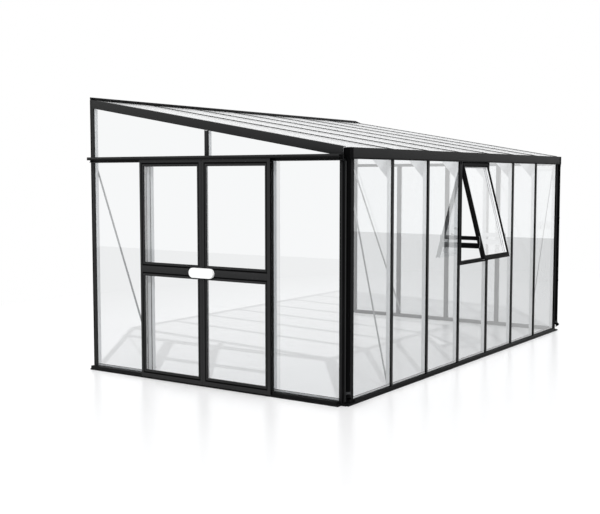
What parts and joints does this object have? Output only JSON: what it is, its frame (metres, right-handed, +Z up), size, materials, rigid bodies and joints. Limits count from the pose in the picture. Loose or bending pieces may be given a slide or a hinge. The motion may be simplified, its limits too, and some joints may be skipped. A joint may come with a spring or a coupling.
{
  "type": "lean-to greenhouse",
  "caption": "Lean-to greenhouse with sliding double doors in one gable, a top-hung window and gutter along the eave, glazed walls and a sloping translucent roof.",
  "frame": {"origin": "middle of the footprint box, on the ground", "axes": "+X along the eave away from the door gable, +Y towards the house wall, +Z up"},
  "size_m": [5.2062, 3.2496, 2.7161],
  "materials": {
    "frame_paint": "satin anthracite powder coat",
    "clear_glass": "clear toughened glass",
    "roof_sheet": "milky twin-wall polycarbonate",
    "drain_plastic": "black moulded plastic",
    "handle_plastic": "white moulded plastic",
    "bare_aluminium": "mill-finish strip",
    "wheel_nylon": "plain nylon"
  },
  "bodies": {
    "frame": {"wall_bar": "frame_paint", "eave_gutter": "frame_paint", "front_sill": "frame_paint", "door_gable_sill": "frame_paint", "far_gable_sill": "frame_paint", "door_gable_wall_post": "frame_paint", "far_gable_wall_post": "frame_paint", "near_corner_post": "frame_paint", "far_corner_post": "frame_paint", "front_post_1": "frame_paint", "front_post_2": "frame_paint", "front_post_3": "frame_paint", "front_post_4": "frame_paint", "front_post_5": "frame_paint", "front_post_6": "frame_paint", "door_gable_rafter": "frame_paint", "far_gable_rafter": "frame_paint", "roof_bar_1": "frame_paint", "roof_bar_2": "frame_paint", "roof_bar_3": "frame_paint", "roof_bar_4": "frame_paint", "roof_bar_5": "frame_paint", "roof_bar_6": "frame_paint", "door_header_track": "frame_paint", "left_door_jamb": "frame_paint", "right_door_jamb": "frame_paint", "door_gable_mullion": "frame_paint", "far_gable_header": "frame_paint", "far_gable_stud_1": "frame_paint", "far_gable_stud_2": "frame_paint", "far_gable_stud_3": "frame_paint", "far_gable_mullion": "frame_paint", "window_transom": "frame_paint", "near_downpipe": "drain_plastic", "far_downpipe": "drain_plastic", "door_gable_brace": "bare_aluminium", "far_gable_brace": "bare_aluminium", "near_eave_brace": "bare_aluminium", "far_eave_brace": "bare_aluminium", "front_panes": "clear_glass", "door_gable_left_pane": "clear_glass", "door_gable_right_pane": "clear_glass", "door_gable_upper_panes": "clear_glass", "far_gable_lower_panes": "clear_glass", "far_gable_upper_panes": "clear_glass", "roof_panels": "roof_sheet"},
    "left_door": {"left_door_frame": "frame_paint", "left_door_glass": "clear_glass", "left_door_handle": "handle_plastic"},
    "right_door": {"right_door_frame": "frame_paint", "right_door_glass": "clear_glass", "right_door_handle": "handle_plastic"},
    "window": {"window_frame": "frame_paint", "window_glass": "clear_glass"},
    "left_stay": {"left_window_stay": "frame_paint"},
    "right_stay": {"right_window_stay": "frame_paint"},
    "left_wheel_1": {"left_door_wheel_1": "wheel_nylon"},
    "left_wheel_2": {"left_door_wheel_2": "wheel_nylon"},
    "right_wheel_1": {"right_door_wheel_1": "wheel_nylon"},
    "right_wheel_2": {"right_door_wheel_2": "wheel_nylon"}
  },
  "joints": [
    {"name": "left_door_slide", "type": "slide", "parent": "frame", "child": "left_door", "axis": [0, 1, 0], "range_m": [0, 0.68]},
    {"name": "right_door_slide", "type": "slide", "parent": "frame", "child": "right_door", "axis": [0, -1, 0], "range_m": [0, 0.68]},
    {"name": "left_wheel_1_spin", "type": "hinge", "parent": "left_door", "child": "left_wheel_1", "pos_m": [-2.55105, 0.23785, 2.0893], "axis": [1, 0, 0], "continuous": true},
    {"name": "left_wheel_2_spin", "type": "hinge", "parent": "left_door", "child": "left_wheel_2", "pos_m": [-2.55105, 0.82085, 2.0893], "axis": [1, 0, 0], "continuous": true},
    {"name": "right_wheel_1_spin", "type": "hinge", "parent": "right_door", "child": "right_wheel_1", "pos_m": [-2.55105, -0.52715, 2.0893], "axis": [1, 0, 0], "continuous": true},
    {"name": "right_wheel_2_spin", "type": "hinge", "parent": "right_door", "child": "right_wheel_2", "pos_m": [-2.55105, 0.05585, 2.0893], "axis": [1, 0, 0], "continuous": true},
    {"name": "window_hinge", "type": "hinge", "parent": "frame", "child": "window", "pos_m": [0.03815, -1.33615, 2.0656], "axis": [-1, 0, 0], "range_deg": [-15, 0]},
    {"name": "left_stay_pivot", "type": "hinge", "parent": "window", "child": "left_stay", "pos_m": [-0.29035, -1.54942, 1.26968], "axis": [1, 0, 0], "range_deg": [-15, 0]},
    {"name": "right_stay_pivot", "type": "hinge", "parent": "window", "child": "right_stay", "pos_m": [0.36665, -1.54942, 1.26968], "axis": [1, 0, 0], "range_deg": [-15, 0]}
  ],
  "couplings": [
    {"joint": "left_wheel_1_spin", "follows": "left_door_slide", "rad_per_m": -90.909},
    {"joint": "left_wheel_2_spin", "follows": "left_door_slide", "rad_per_m": -90.909},
    {"joint": "right_wheel_1_spin", "follows": "right_door_slide", "rad_per_m": 90.909},
    {"joint": "right_wheel_2_spin", "follows": "right_door_slide", "rad_per_m": 90.909},
    {"joint": "left_stay_pivot", "follows": "window_hinge", "ratio": 1},
    {"joint": "right_stay_pivot", "follows": "window_hinge", "ratio": 1}
  ]
}
